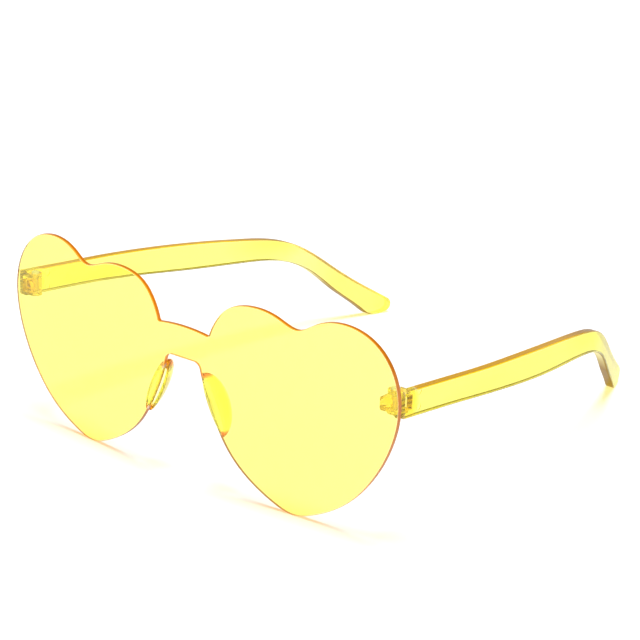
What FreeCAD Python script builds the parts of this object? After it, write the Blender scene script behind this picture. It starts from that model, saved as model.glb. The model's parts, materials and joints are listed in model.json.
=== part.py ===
import FreeCAD, Part
import math
import os

# Rimless heart-shaped sunglasses, open and standing on a flat surface.
# Millimetres. +X is the wearer's left, -Y is the way the wearer looks, +Z is up.
# The two heart tips and the two temple tips stand at z = 0.

V = FreeCAD.Vector

# Shield lens: both hearts and the bridge in one curved sheet
LENS_HALF_WIDTH = 72.0
LENS_HEIGHT = 59.8
LENS_THICKNESS = 1.5
LENS_CURVE_RADIUS = 470.0
LENS_CURVE_HEIGHT = 40.9
LENS_EDGE_ROUND = 0.3
BRIDGE_DEPTH = 9.4
BRIDGE_CORNER_RADIUS = 0.7
NOSE_ARCH_HALF_WIDTH = 6.1
NOSE_ARCH_CORNER_RADIUS = 2.4

# One heart's outline, as shares of the lens's half width and height: from the corner
# at the bridge over both lobes, down the outer side, round the tip, up the nose side
HEART_SHARES = (
    (0.131, 0.763), (0.160, 0.844), (0.222, 0.928), (0.340, 0.969), (0.458, 0.949),
    (0.553, 0.919), (0.625, 0.963), (0.743, 1.000), (0.867, 0.963), (0.957, 0.858),
    (1.000, 0.686), (0.974, 0.484), (0.883, 0.271), (0.754, 0.111), (0.625, 0.027),
    (0.536, 0.000), (0.451, 0.029), (0.339, 0.103), (0.232, 0.222), (0.165, 0.358),
    (0.116, 0.492),
)
BRIDGE_CROWN_SHARE = 0.776

# Nose pads: leaf-shaped rests cemented behind the nose edges
PAD_LENGTH = 19.0
PAD_WIDTH = 4.4
PAD_DEPTH = 5.9
PAD_CENTRE_OUT = 10.6
PAD_CENTRE_HEIGHT = 25.4
PAD_LEAN_DEG = 23.5
PAD_SPLAY_DEG = 14.0
CEMENT_LINE = 0.05

# Hinges: a tongue on the lens between two lugs on the temple, on a steel screw
HINGE_HEIGHT = 40.4
HINGE_INSET = 4.4
HINGE_SETBACK = 3.6
KNUCKLE_RADIUS = 1.9
TONGUE_HEIGHT = 4.0
TONGUE_CORNER_RADIUS = 0.6
TONGUE_PLAY = 0.1
POCKET_PLAY = 0.25
SCREW_RADIUS = 0.7
SCREW_CLEARANCE = 0.05
SCREW_END_INSET = 0.3
HEAD_RADIUS = 1.15
HEAD_HEIGHT = 0.9
HEAD_PROUD = 0.45
RECESS_LENGTH = 1.5
RECESS_WIDTH = 0.34
RECESS_DEPTH = 0.45

# Temples: flat arms that sweep in towards the head and bend down behind the ears
TEMPLE_REACH = 147.9
TEMPLE_SWEEP = 25.5
TEMPLE_THICKNESS = 3.0
TEMPLE_HEIGHT = 7.6
TEMPLE_FACE_OUTSET = 0.2
TEMPLE_OUTER_WALL = 1.2
TEMPLE_EDGE_ROUND = 0.45
MARK_RADIUS = 1.0
MARK_DEPTH = 0.15
MARK_SETBACK = 6.4
MARK_SPACING = 4.4
MARK_DROP = 0.7

# Seen from above: share of the reach, share of the inward sweep
TEMPLE_STRAIGHT_SHARE = 0.2
TEMPLE_PLAN_SHARES = (
    (0.35, 0.045), (0.49, 0.137), (0.625, 0.258), (0.727, 0.370),
    (0.829, 0.560), (0.930, 0.790), (1.060, 1.090),
)
# Seen from the side: share of the reach, share of the hinge's height for the arm's
# middle, and share of the temple's height for the arm itself
TEMPLE_SIDE_SHARES = (
    (0.000, 1.000, 1.000), (0.216, 0.926, 1.020), (0.487, 0.812, 1.130), (0.622, 0.755, 1.020),
    (0.690, 0.718, 0.954), (0.744, 0.662, 0.908), (0.798, 0.554, 0.895), (0.859, 0.369, 1.037),
    (0.926, 0.177, 1.167),
)
# The arm stands on its heel; behind it the tip is a round at this height, which meets
# the arm's top and bottom edges at these angles
TEMPLE_HEEL_SHARE = 0.952
TEMPLE_TIP_RADIUS = 2.6
TEMPLE_TIP_HEIGHT = 3.0
TIP_TOP_DEG = 56.0
TIP_BOTTOM_DEG = -75.0

# Every cutting tool runs this far past what it cuts
OVERRUN = 5.0
# Points closer than this lie in one place
SAME_PLACE = 0.001

# Places that follow from the sizes above
curve_centre = V(0, LENS_CURVE_RADIUS, LENS_CURVE_HEIGHT)
hinge_x = LENS_HALF_WIDTH - HINGE_INSET
back_radius = LENS_CURVE_RADIUS - LENS_THICKNESS


def lens_back(x, z):
    # How far behind the foremost point the lens's back lies at this place
    rise = math.sqrt(back_radius ** 2 - x ** 2 - (z - LENS_CURVE_HEIGHT) ** 2)
    return LENS_CURVE_RADIUS - rise


hinge_y = lens_back(hinge_x, HINGE_HEIGHT) + HINGE_SETBACK
temple_front = hinge_y - KNUCKLE_RADIUS
temple_end = temple_front + TEMPLE_REACH
outer_face = LENS_HALF_WIDTH + TEMPLE_FACE_OUTSET
inner_face = outer_face - TEMPLE_THICKNESS
pocket_face = outer_face - TEMPLE_OUTER_WALL
slot_height = TONGUE_HEIGHT + 2 * TONGUE_PLAY
lug_top = HINGE_HEIGHT + TEMPLE_HEIGHT / 2 - TEMPLE_EDGE_ROUND
lug_bottom = HINGE_HEIGHT - TEMPLE_HEIGHT / 2 + TEMPLE_EDGE_ROUND
head_seat = lug_top - (HEAD_HEIGHT - HEAD_PROUD)


def spline(points, start=None, end=None):
    # A smooth curve through the points, with given directions at its ends if any
    curve = Part.BSplineCurve()
    if start:
        curve.interpolate(Points=points, InitialTangent=start, FinalTangent=end)
    else:
        curve.interpolate(points)
    return curve


def prism(edges, along):
    return Part.Face(Part.Wire(edges)).extrude(along)


def upright(radius, bottom, top):
    return Part.makeCylinder(radius, top - bottom, V(hinge_x, hinge_y, bottom))


def edges_front_to_back(shape, lowest, highest):
    # The straight edges along Y between two heights
    found = []
    for edge in shape.Edges:
        box = edge.BoundBox
        straight = edge.Curve.TypeId == "Part::GeomLine"
        if straight and max(box.XLength, box.ZLength) < SAME_PLACE and lowest < box.ZMin < highest:
            found.append(edge)
    return found


def make_lens():
    # Both hearts, the bridge and the nose arch as one flat outline, cut through a
    # sheet that is curved alike both ways
    heart = [V(LENS_HALF_WIDTH * x, -OVERRUN, LENS_HEIGHT * z) for x, z in HEART_SHARES]
    crown = V(0, -OVERRUN, LENS_HEIGHT * BRIDGE_CROWN_SHARE)
    arch_end = V(NOSE_ARCH_HALF_WIDTH, -OVERRUN, crown.z - BRIDGE_DEPTH)
    left_side = heart + [arch_end]
    right_side = [V(-p.x, p.y, p.z) for p in left_side]
    outline = [
        Part.Arc(right_side[0], crown, left_side[0]).toShape(),
        spline(left_side).toShape(),
        Part.LineSegment(left_side[-1], right_side[-1]).toShape(),
        spline(right_side).toShape(),
    ]
    depth = 2 * OVERRUN + LENS_HALF_WIDTH ** 2 / LENS_CURVE_RADIUS
    blank = prism(outline, V(0, depth, 0))
    mid_bridge = crown.z - BRIDGE_DEPTH / 2
    corners = edges_front_to_back(blank, mid_bridge, LENS_HEIGHT)
    blank = blank.makeFillet(BRIDGE_CORNER_RADIUS, corners)
    corners = edges_front_to_back(blank, 0, mid_bridge)
    blank = blank.makeFillet(NOSE_ARCH_CORNER_RADIUS, corners)
    hollow = Part.makeSphere(back_radius, curve_centre)
    sheet = Part.makeSphere(LENS_CURVE_RADIUS, curve_centre).cut(hollow)
    lens = blank.common(sheet).Solids[0]
    rims = []
    for face in lens.Faces:
        if face.Surface.TypeId == "Part::GeomSphere":
            rims.extend(face.Edges)
    return lens.makeFillet(LENS_EDGE_ROUND, rims).Solids[0]


def make_pad():
    # Half of a leaf-shaped rest, seated on the lens's back along the nose edge
    lean = math.radians(PAD_LEAN_DEG)
    splay = math.radians(PAD_SPLAY_DEG)
    long_way = V(math.sin(lean), 0, -math.cos(lean))
    outward = V(math.cos(lean), 0, math.sin(lean))
    deep_way = outward * math.sin(splay) + V(0, math.cos(splay), 0)
    wide_way = deep_way.cross(long_way) * (PAD_WIDTH / PAD_LENGTH)
    deep_way = deep_way * (2 * PAD_DEPTH / PAD_LENGTH)
    middle = V(PAD_CENTRE_OUT, lens_back(PAD_CENTRE_OUT, PAD_CENTRE_HEIGHT), PAD_CENTRE_HEIGHT)
    stretch = FreeCAD.Matrix(
        wide_way.x, deep_way.x, long_way.x, middle.x,
        wide_way.y, deep_way.y, long_way.y, middle.y,
        wide_way.z, deep_way.z, long_way.z, middle.z,
    )
    leaf = Part.makeSphere(PAD_LENGTH / 2).transformGeometry(stretch)
    return leaf.common(Part.makeSphere(back_radius - CEMENT_LINE, curve_centre)).Solids[0]


def make_tongue():
    # A block on the lens's back edge that ends in the middle barrel of the hinge
    low = HINGE_HEIGHT - TONGUE_HEIGHT / 2
    corner = V(hinge_x - KNUCKLE_RADIUS, hinge_y - HINGE_SETBACK - OVERRUN, low)
    block = Part.makeBox(2 * KNUCKLE_RADIUS, HINGE_SETBACK + OVERRUN, TONGUE_HEIGHT, corner)
    block = block.fuse(upright(KNUCKLE_RADIUS, low, low + TONGUE_HEIGHT)).removeSplitter()
    block = block.common(Part.makeSphere(back_radius - CEMENT_LINE, curve_centre)).Solids[0]
    ridges = edges_front_to_back(block, low - OVERRUN, low + TONGUE_HEIGHT + OVERRUN)
    block = block.makeFillet(TONGUE_CORNER_RADIUS, ridges)
    bore = upright(SCREW_RADIUS + SCREW_CLEARANCE, low - OVERRUN, low + TONGUE_HEIGHT + OVERRUN)
    return block.cut(bore).Solids[0]


def temple_plan():
    # The arm seen from above: a flat stretch behind the hinge, then an inward sweep
    middle_x = outer_face - TEMPLE_THICKNESS / 2
    straight_end = temple_front + TEMPLE_REACH * TEMPLE_STRAIGHT_SHARE
    stations = [V(middle_x, straight_end, 0)]
    for along, inward in TEMPLE_PLAN_SHARES:
        stations.append(V(middle_x - TEMPLE_SWEEP * inward, temple_front + TEMPLE_REACH * along, 0))
    last_run = (stations[-1] - stations[-2]).normalize()
    middle = spline(stations, V(0, 1, 0), last_run)
    sides = []
    for side in (TEMPLE_THICKNESS / 2, -TEMPLE_THICKNESS / 2):
        points = []
        for station in stations:
            run = middle.tangent(middle.parameter(station))[0]
            points.append(station + V(run.y, -run.x, 0) * side)
        front = V(points[0].x, temple_front, 0)
        sides.append((front, points, spline(points, V(0, 1, 0), last_run)))
    (out_front, out_points, out_curve), (in_front, in_points, in_curve) = sides
    plan = prism([
        Part.LineSegment(in_front, out_front).toShape(),
        Part.LineSegment(out_front, out_points[0]).toShape(),
        out_curve.toShape(),
        Part.LineSegment(out_points[-1], in_points[-1]).toShape(),
        in_curve.toShape(),
        Part.LineSegment(in_points[0], in_front).toShape(),
    ], V(0, 0, HINGE_HEIGHT + TEMPLE_HEIGHT + 2 * OVERRUN))
    plan.translate(V(0, 0, -OVERRUN))
    return plan


def temple_side():
    # The arm seen from the side: nearly level, then down to a wider, rounded tip
    top = []
    bottom = []
    for along, middle, height in TEMPLE_SIDE_SHARES:
        y = temple_front + TEMPLE_REACH * along
        z = HINGE_HEIGHT * middle
        half = TEMPLE_HEIGHT * height / 2
        top.append(V(0, y, z + half))
        bottom.append(V(0, y, z - half))
    bottom.append(V(0, temple_front + TEMPLE_REACH * TEMPLE_HEEL_SHARE, 0))
    tip_middle = V(0, temple_end - TEMPLE_TIP_RADIUS, TEMPLE_TIP_HEIGHT)
    top_angle = math.radians(TIP_TOP_DEG)
    bottom_angle = math.radians(TIP_BOTTOM_DEG)
    top_end = tip_middle + V(0, math.cos(top_angle), math.sin(top_angle)) * TEMPLE_TIP_RADIUS
    bottom_end = tip_middle + V(0, math.cos(bottom_angle), math.sin(bottom_angle)) * TEMPLE_TIP_RADIUS
    rearmost = tip_middle + V(0, TEMPLE_TIP_RADIUS, 0)
    top_run = V(0, math.sin(top_angle), -math.cos(top_angle))
    bottom_run = V(0, -math.sin(bottom_angle), math.cos(bottom_angle))
    return prism([
        spline(top + [top_end], top[1] - top[0], top_run).toShape(),
        Part.Arc(top_end, rearmost, bottom_end).toShape(),
        spline(bottom + [bottom_end], bottom[1] - bottom[0], bottom_run).toShape(),
        Part.LineSegment(bottom[0], top[0]).toShape(),
    ], V(outer_face + OVERRUN, 0, 0))


def make_temple():
    # The arm, with two lugs inside its front end that close over the lens's tongue
    ground = Part.makeBox(
        2 * outer_face, temple_end + 2 * OVERRUN, OVERRUN, V(-outer_face, -OVERRUN, -OVERRUN)
    )
    arm = temple_plan().common(temple_side()).Solids[0]
    long_edges = [edge for edge in arm.Edges if edge.Curve.TypeId != "Part::GeomLine"]
    arm = arm.makeFillet(TEMPLE_EDGE_ROUND, long_edges).cut(ground).Solids[0]
    web_corner = V(hinge_x, temple_front, lug_bottom)
    web = Part.makeBox(pocket_face - hinge_x, 2 * KNUCKLE_RADIUS, lug_top - lug_bottom, web_corner)
    lugs = web.fuse(upright(KNUCKLE_RADIUS, lug_bottom, lug_top)).removeSplitter()
    temple = arm.fuse(lugs).removeSplitter().Solids[0]
    slot_corner = V(hinge_x - OVERRUN, temple_front - OVERRUN, HINGE_HEIGHT - slot_height / 2)
    slot = Part.makeBox(
        pocket_face - slot_corner.x, OVERRUN + 2 * KNUCKLE_RADIUS + POCKET_PLAY, slot_height, slot_corner
    )
    bore = upright(SCREW_RADIUS + SCREW_CLEARANCE, lug_bottom - OVERRUN, lug_top + OVERRUN)
    head_room = upright(HEAD_RADIUS + SCREW_CLEARANCE, head_seat, lug_top + OVERRUN)
    temple = temple.cut(slot).cut(bore).cut(head_room)
    for offset in (-MARK_SPACING / 2, MARK_SPACING / 2):
        place = V(inner_face - OVERRUN, hinge_y + MARK_SETBACK, HINGE_HEIGHT - MARK_DROP + offset)
        temple = temple.cut(Part.makeCylinder(MARK_RADIUS, OVERRUN + MARK_DEPTH, place, V(1, 0, 0)))
    return temple.Solids[0]


def make_screw():
    # A cheese-head screw with a cross recess, from the upper lug through to the lower one
    end = lug_bottom + SCREW_END_INSET
    head_top = head_seat + HEAD_HEIGHT
    screw = upright(SCREW_RADIUS, end, head_seat).fuse(upright(HEAD_RADIUS, head_seat, head_top))
    for length, width in ((RECESS_LENGTH, RECESS_WIDTH), (RECESS_WIDTH, RECESS_LENGTH)):
        corner = V(hinge_x - length / 2, hinge_y - width / 2, head_top - RECESS_DEPTH)
        screw = screw.cut(Part.makeBox(length, width, RECESS_DEPTH + OVERRUN, corner))
    return screw.removeSplitter().Solids[0]


pieces = {"lens_shield": make_lens()}
handed = {
    "nose_pad": make_pad(),
    "hinge_block": make_tongue(),
    "temple": make_temple(),
    "hinge_screw": make_screw(),
}
for name, shape in handed.items():
    pieces[name + "_left"] = shape
    pieces[name + "_right"] = shape.mirror(V(0, 0, 0), V(1, 0, 0))

# The origin lies on the ground, midway between the bridge's front and the temple tips
rear = handed["temple"].optimalBoundingBox().YMax
os.makedirs("parts", exist_ok=True)
for name, shape in pieces.items():
    shape.translate(V(0, -rear / 2, 0))
    shape.exportStep("parts/" + name + ".step")
    print(name, len(shape.Solids), shape.isValid(), round(shape.Volume, 2))
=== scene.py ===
import json
import math

import bmesh
import bpy
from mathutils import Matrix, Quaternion, Vector

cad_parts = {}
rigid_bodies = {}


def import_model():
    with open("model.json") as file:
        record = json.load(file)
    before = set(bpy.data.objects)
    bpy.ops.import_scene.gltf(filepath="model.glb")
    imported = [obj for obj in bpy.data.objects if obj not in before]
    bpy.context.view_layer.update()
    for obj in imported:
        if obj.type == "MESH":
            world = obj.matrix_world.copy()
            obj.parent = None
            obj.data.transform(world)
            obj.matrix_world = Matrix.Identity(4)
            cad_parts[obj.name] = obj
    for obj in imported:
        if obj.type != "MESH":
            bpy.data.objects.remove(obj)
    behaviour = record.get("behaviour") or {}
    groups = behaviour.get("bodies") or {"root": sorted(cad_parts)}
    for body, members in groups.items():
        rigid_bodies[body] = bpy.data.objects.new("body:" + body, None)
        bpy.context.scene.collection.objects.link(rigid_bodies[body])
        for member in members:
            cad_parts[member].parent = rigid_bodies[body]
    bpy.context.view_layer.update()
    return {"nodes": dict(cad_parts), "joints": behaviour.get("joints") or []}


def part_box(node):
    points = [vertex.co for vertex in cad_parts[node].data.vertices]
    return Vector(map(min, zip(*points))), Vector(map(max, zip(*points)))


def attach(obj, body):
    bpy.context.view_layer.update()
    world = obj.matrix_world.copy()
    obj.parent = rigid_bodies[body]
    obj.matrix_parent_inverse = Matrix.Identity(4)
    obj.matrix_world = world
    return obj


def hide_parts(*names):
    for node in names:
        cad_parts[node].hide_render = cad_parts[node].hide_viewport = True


# A new file's own cube, lamp and camera are no part of this scene
for leftover in list(bpy.data.objects):
    bpy.data.objects.remove(leftover)

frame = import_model()
nodes = frame["nodes"]

# Shield lens: both hearts and the bridge in one curved sheet of yellow polycarbonate,
# dyed right through, cut to its outline and polished. Both temples hang from its back.
MM = 0.001
# The skins of all the plastics have low waves, with a trace of haze on their crests
WAVE_WIDTH = 14 * MM
WAVE_HEIGHT = 0.02 * MM
WAVE_SHARE = 0.2
CRESTS = (0.45, 0.75)
CREST_ROUGHNESS = 0.03
# How flat a surface lies with the faces, from 1 on them to 0 on a cut edge: over the first
# span a rim passes from scattering to clear, over the second a cut edge passes to a rim
RIM_TURN = (0.75, 0.97)
CUT_TURN = (0.08, 0.25)
# How far up a surface looks: over this span an underside, with its painted light and shade, passes to a
# top
UNDER_TURN = (-0.3, 0.0)
# A polished face hardly dims the light on its way to the floor
FACE_SHADOW = "#F4F4F4"
# The sockets of a Mix node that blends two colours
FACTOR, COLOUR_A, COLOUR_B, BLEND = 0, 6, 7, 2


def linear(hex_colour):
    # The linear values of an sRGB colour, with full alpha
    values = [int(hex_colour[i:i + 2], 16) / 255 for i in (1, 3, 5)]
    return [v / 12.92 if v <= 0.04045 else ((v + 0.055) / 1.055) ** 2.4 for v in values] + [1.0]


def add(tree, kind, links=None, values=None, **settings):
    # One node with its settings, the values of its sockets and its links
    node = tree.nodes.new(kind)
    for name, value in settings.items():
        setattr(node, name, value)
    for socket, value in (values or {}).items():
        node.inputs[socket].default_value = value
    for socket, source in (links or {}).items():
        tree.links.new(source, node.inputs[socket])
    return node


def edge_looks(tree, place, haze, tint, clear, edge, under, zones):
    # A cut edge and the rims beside it scatter light where the faces let it pass, each in
    # its own painted colour, a painted glow of the light that leaves the piece there; "across"
    # is the way through the piece, and undersides may take painted light and shade of their own.
    # A zone is an egg-shaped space with colours of its own, most of them painted light or shade.
    # Its centre has no signs, so that it serves both sides, and "soft" is how far its border
    # fades, as a share of its size. "scatter" is the share of the scattering that it leaves,
    # and "rims" keeps its rim colour to the undersides or the tops.
    turned = add(tree, "ShaderNodeVectorMath", {0: place.outputs["Normal"]}, operation="ABSOLUTE")
    flatness = add(tree, "ShaderNodeSeparateXYZ", {0: turned.outputs[0]}).outputs[edge["across"]]
    scatter, cut = (
        add(tree, "ShaderNodeMapRange", {"Value": flatness},
            {"From Min": low, "From Max": high, "To Min": 1.0, "To Max": 0.0}).outputs[0]
        for low, high in (RIM_TURN, CUT_TURN))

    # A surface met from inside has its normal turned round, so it is turned back
    geometry = add(tree, "ShaderNodeNewGeometry")
    outwards = add(tree, "ShaderNodeMath", {0: geometry.outputs["Backfacing"]}, {1: -2.0, 2: 1.0},
                   operation="MULTIPLY_ADD")
    normal = add(tree, "ShaderNodeSeparateXYZ", {0: place.outputs["Normal"]})
    rise = add(tree, "ShaderNodeMath", {0: normal.outputs["Z"], 1: outwards.outputs[0]},
               operation="MULTIPLY")
    # Undersides take their own painted light and shade: this mask is 1 on surfaces that face down
    below = add(tree, "ShaderNodeMapRange", {"Value": rise.outputs[0]},
                {"From Min": UNDER_TURN[0], "From Max": UNDER_TURN[1], "To Min": 1.0, "To Max": 0.0})
    above = add(tree, "ShaderNodeMath", {1: below.outputs[0]}, {0: 1.0}, operation="SUBTRACT")
    sides = {"under": below.outputs[0], "top": above.outputs[0]}

    tops, undersides = (
        add(tree, "ShaderNodeMix", {FACTOR: cut},
            {COLOUR_A: linear(look["rim"]), COLOUR_B: linear(look["cut"])},
            data_type="RGBA").outputs[BLEND]
        for look in (edge, under or edge))
    rim = add(tree, "ShaderNodeMix", {FACTOR: sides["under"], COLOUR_A: tops, COLOUR_B: undersides},
              data_type="RGBA").outputs[BLEND]
    face = add(tree, "ShaderNodeRGB").outputs[0]
    face.default_value = linear(tint)

    distances = add(tree, "ShaderNodeVectorMath", {0: place.outputs["Object"]}, operation="ABSOLUTE")
    for zone in zones:
        local = add(tree, "ShaderNodeMapping", {"Vector": distances.outputs[0]},
                    {"Location": [v * MM for v in zone["centre_mm"]],
                     "Rotation": (0, math.radians(zone.get("lean_deg", 0)), 0),
                     "Scale": [v * MM for v in zone["half_mm"]]}, vector_type="TEXTURE")
        reach = add(tree, "ShaderNodeVectorMath", {0: local.outputs[0]}, operation="LENGTH")
        inside = add(tree, "ShaderNodeMapRange", {"Value": reach.outputs["Value"]},
                     {"From Min": 1 - zone["soft"], "From Max": 1 + zone["soft"],
                      "To Min": 1.0, "To Max": 0.0}).outputs[0]
        kept = add(tree, "ShaderNodeMapRange", {"Value": inside},
                   {"To Min": 1.0, "To Max": zone.get("scatter", 1.0)})
        scatter = add(tree, "ShaderNodeMath", {0: scatter, 1: kept.outputs[0]},
                      operation="MULTIPLY").outputs[0]
        face = add(tree, "ShaderNodeMix", {FACTOR: inside, COLOUR_A: face},
                   {COLOUR_B: linear(zone.get("face", tint))}, data_type="RGBA").outputs[BLEND]
        if "rims" in zone:
            inside = add(tree, "ShaderNodeMath", {0: inside, 1: sides[zone["rims"]]},
                         operation="MULTIPLY").outputs[0]
        rim = add(tree, "ShaderNodeMix", {FACTOR: inside, COLOUR_A: rim},
                  {COLOUR_B: linear(zone["rim"])}, data_type="RGBA").outputs[BLEND]

    colour = add(tree, "ShaderNodeMix", {FACTOR: scatter, COLOUR_A: face, COLOUR_B: rim},
                 data_type="RGBA")
    passing = add(tree, "ShaderNodeMapRange", {"Value": scatter},
                  {"To Min": clear, "To Max": edge["clear"]})
    rough = add(tree, "ShaderNodeMapRange", {"Value": scatter, "To Min": haze},
                {"To Max": edge["roughness"]})
    shadow = add(tree, "ShaderNodeMix", {FACTOR: scatter},
                 {COLOUR_A: linear(FACE_SHADOW), COLOUR_B: linear(edge["shadow"])}, data_type="RGBA")
    surface = {"Base Color": colour.outputs[BLEND], "Transmission Weight": passing.outputs[0],
               "Roughness": rough.outputs[0]}
    return surface, {"Color": shadow.outputs[BLEND]}


def dyed_plastic(name, dye_per_mm, ior, tint="#FFFFFF", clear=1.0, edge=None, under=None, zones=()):
    # Clear plastic with dye all through it: the dye, given by how strongly a millimetre of
    # plastic absorbs red, green and blue, takes blue first and red last, so a short way
    # through is pale yellow and a long way is orange or olive. In shadows each surface
    # only filters the light.
    material = bpy.data.materials.new(name)
    material.use_nodes = True
    tree = material.node_tree
    tree.nodes.clear()
    place = add(tree, "ShaderNodeTexCoord")
    waves = add(tree, "ShaderNodeTexNoise", {"Vector": place.outputs["Object"]},
                {"Scale": 1 / WAVE_WIDTH, "Detail": 2.0})
    skin = add(tree, "ShaderNodeBump", {"Height": waves.outputs[0]},
               {"Strength": WAVE_SHARE, "Distance": WAVE_HEIGHT})
    haze = add(tree, "ShaderNodeMapRange", {"Value": waves.outputs[0]},
               {"From Min": CRESTS[0], "From Max": CRESTS[1], "To Min": 0.0, "To Max": CREST_ROUGHNESS})
    surface, shadow = {"Roughness": haze.outputs[0]}, {}
    if edge:
        surface, shadow = edge_looks(tree, place, haze.outputs[0], tint, clear, edge, under, zones)
    plastic = add(tree, "ShaderNodeBsdfPrincipled", {"Normal": skin.outputs[0], **surface},
                  {"Base Color": linear(tint), "IOR": ior, "Transmission Weight": clear})
    shade = add(tree, "ShaderNodeBsdfTransparent", shadow, {"Color": linear(FACE_SHADOW)})
    path = add(tree, "ShaderNodeLightPath")
    both = add(tree, "ShaderNodeMixShader",
               {0: path.outputs["Is Shadow Ray"], 1: plastic.outputs[0], 2: shade.outputs[0]})
    most = max(dye_per_mm)
    dye = add(tree, "ShaderNodeVolumeAbsorption", {},
              {"Color": [1 - share / most for share in dye_per_mm] + [1.0], "Density": most / MM})
    add(tree, "ShaderNodeOutputMaterial", {"Surface": both.outputs[0], "Volume": dye.outputs[0]})
    return material


LENS_DYE = (0.003, 0.022, 0.87)
LENS_IOR = 1.585
# The cut edge and its rims are painted gold and orange: a painted glow of the light that leaves the
# sheet there
LENS_EDGE = dict(across="Y", cut="#CC7404", rim="#F0A820", shadow="#FFB074", clear=0.2, roughness=0.3)
PAD_LEAN = -23.5
lens_half_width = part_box("lens_shield")[1].x / MM
pad_low, pad_high = (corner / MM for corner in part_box("nose_pad_left"))
pad_middle = (pad_low + pad_high) / 2
# Painted shade: the lower, inner and outer edges get browner rims than the top
LOWER_EDGE_PAINTED_SHADE = dict(centre_mm=(lens_half_width / 2, 76.0, 0.0), half_mm=(lens_half_width / 2, 8.0, 16.0),
                   soft=0.2, rim="#C07C04")
INNER_EDGE_PAINTED_SHADE = dict(centre_mm=(19.0, 76.0, 2.0), half_mm=(16.0, 8.0, 20.0), soft=0.3, rim="#9C5800")
OUTER_EDGE_PAINTED_SHADE = dict(centre_mm=(lens_half_width + 2.0, 70.0, 34.0), half_mm=(18.0, 16.0, 30.0),
                   soft=0.3, rim="#B46804")
PAD_SEATS = dict(centre_mm=(pad_middle.x, 76.0, pad_middle.z), lean_deg=PAD_LEAN,
                 half_mm=(3.0, 3.5, 8.2), soft=0.1, rim="#FFFFFF", scatter=0.0)
# Polished polycarbonate: clear pale yellow faces that mirror a little white at a slant, and
# cut edges painted from gold to brown, a painted glow of the light that runs inside the sheet
# and leaves there, with painted shade on the lower, inner and outer edges. Where cement wets
# the edge beside a pad, it is clear.
lens_plastic = dyed_plastic("polished_yellow_polycarbonate", LENS_DYE, LENS_IOR, edge=LENS_EDGE,
                            zones=[LOWER_EDGE_PAINTED_SHADE, INNER_EDGE_PAINTED_SHADE, OUTER_EDGE_PAINTED_SHADE, PAD_SEATS])
nodes["lens_shield"].data.materials[0] = lens_plastic

# Nose pads: two leaf-shaped rests of paler yellow plastic, moulded apart and cemented
# to the lens's back along the nose edges.
SEAT = 0.1 * MM
MERGE = 0.001 * MM
SHARP_EDGE = math.radians(30)
PAD_DYE = (0.0, 0.002, 0.09)
PAD_IOR = 1.38
PAD_EDGE = dict(across="Y", cut="#F0E060", rim="#FFFF90", shadow=FACE_SHADOW, clear=0.9, roughness=0.05)
# Painted shade, cream and olive, along the side of each leaf by the nose
NOSE_SIDE_PAINTED_SHADE = dict(centre_mm=(pad_middle.x - 2.25, 75.0, pad_middle.z - 1.25), lean_deg=PAD_LEAN,
                  half_mm=(1.3, 5.0, 6.5), soft=0.15, face="#E8DC90", rim="#D8C468")
END_INWARDS = 0.65
END_BEYOND = 0.45
# Painted orange glow at both ends of each leaf, at its top and at its foot
PAD_END_PAINTED_GLOW = dict(half_mm=(2.4, 4.0, 2.2), soft=0.15, face="#FFA850", rim="#F08820")
PAD_TOP_PAINTED_GLOW = dict(PAD_END_PAINTED_GLOW, centre_mm=(pad_low.x + END_INWARDS, 75.0, pad_high.z + END_BEYOND))
PAD_FOOT_PAINTED_GLOW = dict(PAD_END_PAINTED_GLOW, centre_mm=(pad_high.x - END_INWARDS, 75.0, pad_low.z - END_BEYOND))
# Clear acrylic with little dye: a pale lemon yellow, deeper where the leaf is thick, with a
# faint painted glow on its cut edges, painted shade in cream and olive on the side by the nose
# and a painted orange glow at both ends. It bends light less here than the real plastic does
# (1.49), because light that is held inside so small a piece leaves it dark.
pad_plastic = dyed_plastic("clear_yellow_acrylic", PAD_DYE, PAD_IOR, edge=PAD_EDGE,
                           zones=[NOSE_SIDE_PAINTED_SHADE, PAD_TOP_PAINTED_GLOW, PAD_FOOT_PAINTED_GLOW])


def seated_copy(node_name, material):
    # The piece of the frame, moved forward through the cement line into the lens's back,
    # so that light passes the joint as it does where clear cement fills it
    bm = bmesh.new()
    bm.from_mesh(nodes[node_name].data)
    bmesh.ops.remove_doubles(bm, verts=bm.verts, dist=MERGE)
    bmesh.ops.translate(bm, verts=bm.verts, vec=(0, -SEAT, 0))
    for face in bm.faces:
        face.smooth = True
    mesh = bpy.data.meshes.new(node_name + "_seated")
    bm.to_mesh(mesh)
    bm.free()
    mesh.set_sharp_from_angle(angle=SHARP_EDGE)
    mesh.materials.append(material)
    piece = bpy.data.objects.new(node_name + "_seated", mesh)
    bpy.context.scene.collection.objects.link(piece)
    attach(piece, "front")
    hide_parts(node_name)
    return piece


for side in ("left", "right"):
    pad = seated_copy("nose_pad_" + side, pad_plastic)

# Hinge blocks: the middle barrel of each hinge, an amber-yellow moulding cemented behind
# the lens's outer edge, with a bore for the screw.
BLOCK_DYE = (0.001, 0.010, 0.22)
BLOCK_IOR = 1.12
# Amber acrylic: a golden block, clear enough to show the bore, with a little light turned
# back at its skin. It too bends light less here than the real plastic does, to stay bright.
block_plastic = dyed_plastic("amber_acrylic", BLOCK_DYE, BLOCK_IOR, tint="#FFE47C", clear=0.88)
for side in ("left", "right"):
    block = seated_copy("hinge_block_" + side, block_plastic)

# Temples: flat arms moulded in yellow polycarbonate with a little olive in it, polished on
# their faces, with two lugs each that close over the hinge block.
TEMPLE_DYE = (0.013, 0.017, 0.42)
TEMPLE_IOR = 1.25
# The cut edges and rims are painted gold: a painted glow of the light that leaves the arm there
TEMPLE_EDGE = dict(across="X", cut="#CC9600", rim="#F0C010", shadow="#ECE4D0", clear=0.15, roughness=0.3)
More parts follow.
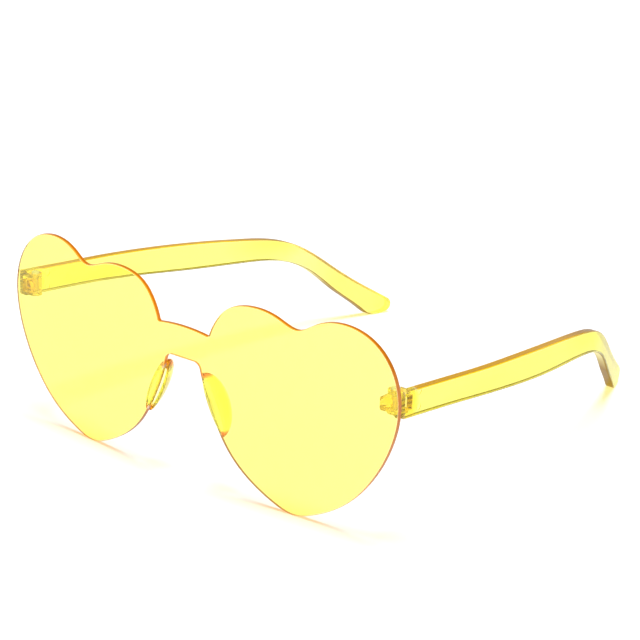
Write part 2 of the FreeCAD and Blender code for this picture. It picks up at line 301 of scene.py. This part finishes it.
# Painted light and shade on the undersides: a pale cut and an olive rim
TEMPLE_UNDERSIDE_PAINTED_LIGHT_AND_SHADE = dict(cut="#FFF4A0", rim="#948438")
hinge_places = {joint["child"]: joint["pos_m"] for joint in frame["joints"]}
hinge_x, hinge_y, hinge_z = (abs(v) / MM for v in hinge_places["left_temple"])
temple_low, temple_high = (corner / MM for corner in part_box("temple_left"))
LUGS = dict(centre_mm=(hinge_x, hinge_y - 0.5, hinge_z), half_mm=(6.5, 4.5, 7.0), soft=0.1,
            face="#FFE890", rim="#FFDC68", scatter=0.2)
# Painted brown shade on the lower rims along the legs, with a little more yellow on the faces
LEG_PAINTED_SHADE = dict(centre_mm=(temple_low.x + 5.0, temple_high.y + 2.0, 0.0), half_mm=(20.0, 36.0, 44.0),
            soft=0.25, face="#FFFFC8", rim="#8C6812", rims="under")
# Painted brown shade on the top rims along the heels, with warmer faces
HEEL_PAINTED_SHADE = dict(centre_mm=(61.0, 38.0, 33.0), half_mm=(6.0, 16.0, 5.0), soft=0.8,
             face="#FFF4C0", rim="#906408", rims="top")
# Painted light at the tips: the end of each arm is made pale yellow where it would look dark
TIP_PAINTED_LIGHT = dict(centre_mm=(temple_low.x + 2.0, temple_high.y - 1.0, 4.0), half_mm=(7.0, 5.0, 8.0),
            soft=0.45, face="#FFFFB8", rim="#F4EC60")
# Glossy polycarbonate: clear greenish yellow faces between a golden top edge, a painted glow,
# and a lower edge painted pale with painted olive shade on its rim, with painted brown shade
# along the heels and legs and painted light that turns the tips pale yellow.
# It bends light less here than the real plastic does, so that the long arms don't go dark.
temple_plastic = dyed_plastic("glossy_yellow_polycarbonate", TEMPLE_DYE, TEMPLE_IOR, edge=TEMPLE_EDGE,
                              under=TEMPLE_UNDERSIDE_PAINTED_LIGHT_AND_SHADE, zones=[LUGS, LEG_PAINTED_SHADE, HEEL_PAINTED_SHADE, TIP_PAINTED_LIGHT])
for side in ("left", "right"):
    nodes["temple_" + side].data.materials[0] = temple_plastic

# Hinge screws: plain bright steel, turned with a cheese head and a cross recess, put in
# from above through both lugs and the block.
STEEL = "#ECE8E0"
STEEL_MIRROR = 0.2
STEEL_ROUGHNESS = (0.25, 0.4)
MARK_WIDTH = 0.25 * MM
MARK_SPAN = (0.3, 0.7)
# Turned bright steel: pale and soft in its shine. Amid white paper it mirrors mostly white,
# so a fifth of it is drawn as metal and the rest as that white. The turning marks that dull
# it are drawn several times as coarse as they are, so that they show.
steel = bpy.data.materials.new("turned_bright_steel")
steel.use_nodes = True
tree = steel.node_tree
tree.nodes.clear()
place = add(tree, "ShaderNodeTexCoord")
marks = add(tree, "ShaderNodeTexNoise", {"Vector": place.outputs["Object"]},
            {"Scale": 1 / MARK_WIDTH, "Detail": 2.0})
dull = add(tree, "ShaderNodeMapRange", {"Value": marks.outputs[0]},
           {"From Min": MARK_SPAN[0], "From Max": MARK_SPAN[1],
            "To Min": STEEL_ROUGHNESS[0], "To Max": STEEL_ROUGHNESS[1]})
metal = add(tree, "ShaderNodeBsdfPrincipled", {"Roughness": dull.outputs[0]},
            {"Base Color": linear(STEEL), "Metallic": STEEL_MIRROR})
add(tree, "ShaderNodeOutputMaterial", {"Surface": metal.outputs[0]})
SHANK_RADIUS = 0.7 * MM
SHANK_SLACK = 0.05 * MM
HEAD_HEIGHT = 0.9 * MM
# The thread is drawn twice as coarse as it is, so that it can be seen at this distance
THREAD_PITCH = 0.8 * MM
THREAD_DEPTH = 0.14 * MM
ROWS_PER_TURN = 8
ROW_HEIGHT = THREAD_PITCH / ROWS_PER_TURN
for side in ("left", "right"):
    node_name = "hinge_screw_" + side
    axis_x, axis_y, _ = hinge_places[side + "_temple"]
    low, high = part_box(node_name)
    shank_bottom = low.z
    shank_top = high.z - HEAD_HEIGHT
    bm = bmesh.new()
    bm.from_mesh(nodes[node_name].data)
    bmesh.ops.remove_doubles(bm, verts=bm.verts, dist=MERGE)
    rows = math.floor((shank_top - shank_bottom) / ROW_HEIGHT)
    for row in range(1, rows):
        height = shank_bottom + (shank_top - shank_bottom) * row / rows
        bmesh.ops.bisect_plane(bm, geom=bm.verts[:] + bm.edges[:] + bm.faces[:],
                               plane_co=(0, 0, height), plane_no=(0, 0, 1))
    for vert in bm.verts:
        across_x = vert.co.x - axis_x
        across_y = vert.co.y - axis_y
        on_shank = abs(math.hypot(across_x, across_y) - SHANK_RADIUS) < SHANK_SLACK
        if on_shank and vert.co.z < shank_top - ROW_HEIGHT / 2:
            turn = math.atan2(across_y, across_x) / math.tau
            phase = (vert.co.z / THREAD_PITCH - turn) % 1
            share = 1 - THREAD_DEPTH / SHANK_RADIUS * abs(2 * phase - 1)
            vert.co.x = axis_x + across_x * share
            vert.co.y = axis_y + across_y * share
    mesh = bpy.data.meshes.new(node_name + "_threaded")
    bm.to_mesh(mesh)
    bm.free()
    mesh.materials.append(steel)
    screw = bpy.data.objects.new(node_name + "_threaded", mesh)
    bpy.context.scene.collection.objects.link(screw)
    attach(screw, side + "_temple")
    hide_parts(node_name)

# Floor: a sheet of white paper laid flat under the pair, wide enough to fill the view
# and to hold all the shadows.
FLOOR_HALF = 3.0
bm = bmesh.new()
bmesh.ops.create_grid(bm, x_segments=1, y_segments=1, size=FLOOR_HALF)
mesh = bpy.data.meshes.new("floor")
bm.to_mesh(mesh)
bm.free()
floor = bpy.data.objects.new("floor", mesh)
bpy.context.scene.collection.objects.link(floor)
PAPER = "#F8F8F8"
PAPER_SEEN = "#FFFFFF"
PAPER_MIRRORED = "#EDEDED"
# Matt paper: an even white with no shine. It is burnt out to full white where it is seen,
# straight or through the plastic, and a little greyer in what the plastic mirrors.
paper = bpy.data.materials.new("matt_white_paper")
paper.use_nodes = True
tree = paper.node_tree
tree.nodes.clear()
path = add(tree, "ShaderNodeLightPath")
# A ray that is bent on its way through plastic counts as a glossy one too
mirrored = add(tree, "ShaderNodeMath",
               {0: path.outputs["Is Glossy Ray"], 1: path.outputs["Is Transmission Ray"]},
               operation="SUBTRACT", use_clamp=True)
seen = add(tree, "ShaderNodeMath",
           {0: path.outputs["Is Camera Ray"], 1: path.outputs["Is Transmission Ray"]},
           operation="MAXIMUM")
direct = add(tree, "ShaderNodeMix", {FACTOR: seen.outputs[0]},
             {COLOUR_A: linear(PAPER), COLOUR_B: linear(PAPER_SEEN)}, data_type="RGBA")
white = add(tree, "ShaderNodeMix", {FACTOR: mirrored.outputs[0], COLOUR_A: direct.outputs[BLEND]},
            {COLOUR_B: linear(PAPER_MIRRORED)}, data_type="RGBA")
matt = add(tree, "ShaderNodeBsdfDiffuse", {"Color": white.outputs[BLEND]})
add(tree, "ShaderNodeOutputMaterial", {"Surface": matt.outputs[0]})
mesh.materials.append(paper)

# Surroundings: white behind the object and in what shows through it. In reflections the
# white reaches up to a low height, and above it the studio is dim.
STUDIO = "#FFFFFF"
WHITE_ENDS = (0.05, 0.25)
DIM_STUDIO = 0.12
world = bpy.data.worlds.new("studio")
bpy.context.scene.world = world
world.use_nodes = True
tree = world.node_tree
tree.nodes.clear()
path = add(tree, "ShaderNodeLightPath")
place = add(tree, "ShaderNodeTexCoord")
direction = add(tree, "ShaderNodeSeparateXYZ", {0: place.outputs["Generated"]})
level = add(tree, "ShaderNodeMapRange", {"Value": direction.outputs["Z"]},
            {"From Min": WHITE_ENDS[0], "From Max": WHITE_ENDS[1], "To Min": 1.0, "To Max": DIM_STUDIO})
mirrored = add(tree, "ShaderNodeMath", {0: path.outputs["Is Glossy Ray"], 1: level.outputs[0]},
               operation="MULTIPLY")
in_view = add(tree, "ShaderNodeMath", {0: path.outputs["Is Camera Ray"], 1: mirrored.outputs[0]},
              operation="MAXIMUM")
seen = add(tree, "ShaderNodeMath", {0: in_view.outputs[0], 1: path.outputs["Is Transmission Ray"]},
           operation="MAXIMUM")
back = add(tree, "ShaderNodeBackground", {"Strength": seen.outputs[0]}, {"Color": linear(STUDIO)})
add(tree, "ShaderNodeOutputWorld", {"Surface": back.outputs[0]})

# Lamps: a soft light overhead, which draws the shadows, and a wide fill from the front that
# draws none. A strength of 1 turns white paper that lies square to the lamp full white.
for name, strength, spread_deg, towards, draws_shadows in (
    ("overhead", 0.95, 24, (0, 0, -1), True),
    ("fill", 1.2, 60, (-0.62, 0.70, -0.25), False),
):
    light = bpy.data.lights.new(name, "SUN")
    light.energy = math.pi * strength
    light.angle = math.radians(spread_deg)
    light.use_shadow = draws_shadows
    lamp = bpy.data.objects.new(name, light)
    lamp.rotation_mode = "QUATERNION"
    lamp.rotation_quaternion = Vector(towards).to_track_quat("-Z", "Y")
    lamp.visible_glossy = False
    lamp.visible_transmission = False
    bpy.context.scene.collection.objects.link(lamp)

# Camera: a long lens at the photograph's place, above the front and to the wearer's left,
# and rolled a little, as the photograph is.
CAMERA_AT = Vector((413.90, -533.72, 270.49)) * MM
CAMERA_AIM = Vector((48.93, -78.004, 60.78)) * MM
CAMERA_ROLL = math.radians(2.04)
CAMERA_LENS_MM = 132.26
CAMERA_SENSOR_MM = 36.0
NEAREST_SEEN = 10 * MM
camera_data = bpy.data.cameras.new("camera")
camera_data.sensor_width = CAMERA_SENSOR_MM
camera_data.lens = CAMERA_LENS_MM
camera_data.clip_start = NEAREST_SEEN
camera = bpy.data.objects.new("camera", camera_data)
bpy.context.scene.collection.objects.link(camera)
camera.location = CAMERA_AT
camera.rotation_mode = "QUATERNION"
look = (CAMERA_AIM - CAMERA_AT).to_track_quat("-Z", "Y")
camera.rotation_quaternion = look @ Quaternion((0, 0, 1), CAMERA_ROLL)
bpy.context.scene.camera = camera
bpy.context.scene.view_settings.view_transform = "Standard"

# Light that runs inside the sheet is thrown from face to face many times before it leaves
# at an edge, so a long way of it is followed. Caustics are off, because the plastics draw
# their own shadows.
BOUNCES = 160
SHADOW_LAYERS = 64
cycles = bpy.context.scene.cycles
cycles.max_bounces = BOUNCES
cycles.glossy_bounces = BOUNCES
cycles.transmission_bounces = BOUNCES
cycles.transparent_max_bounces = SHADOW_LAYERS
cycles.caustics_refractive = False
cycles.caustics_reflective = False
